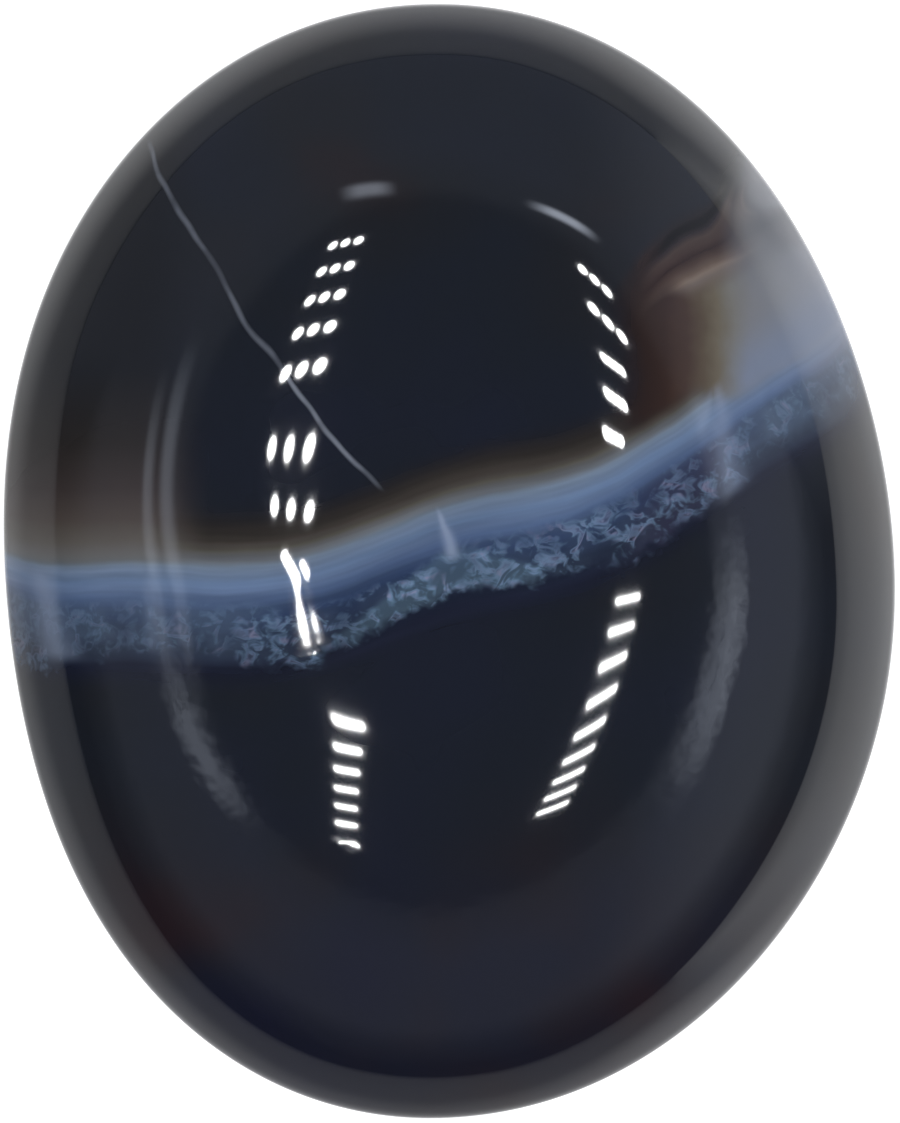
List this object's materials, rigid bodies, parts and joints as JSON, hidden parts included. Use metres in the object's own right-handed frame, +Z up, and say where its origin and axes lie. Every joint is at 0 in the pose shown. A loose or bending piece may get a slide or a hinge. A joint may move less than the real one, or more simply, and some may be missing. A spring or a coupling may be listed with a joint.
{
  "type": "black agate cabochon",
  "caption": "Oval polished stone with a domed crown, a rounded edge and a flat back to rest on or be set by.",
  "frame": {"origin": "on the flat back, under the centre of the oval", "axes": "+Z up through the dome, +Y along the stone's long axis, +X across it, towards the side where the band climbs"},
  "size_m": [0.02, 0.025, 0.0065],
  "materials": {
    "agate": "polished to a high gloss, near black with one blue-grey band"
  },
  "bodies": {
    "root": {"agate": "agate"}
  },
  "joints": []
}
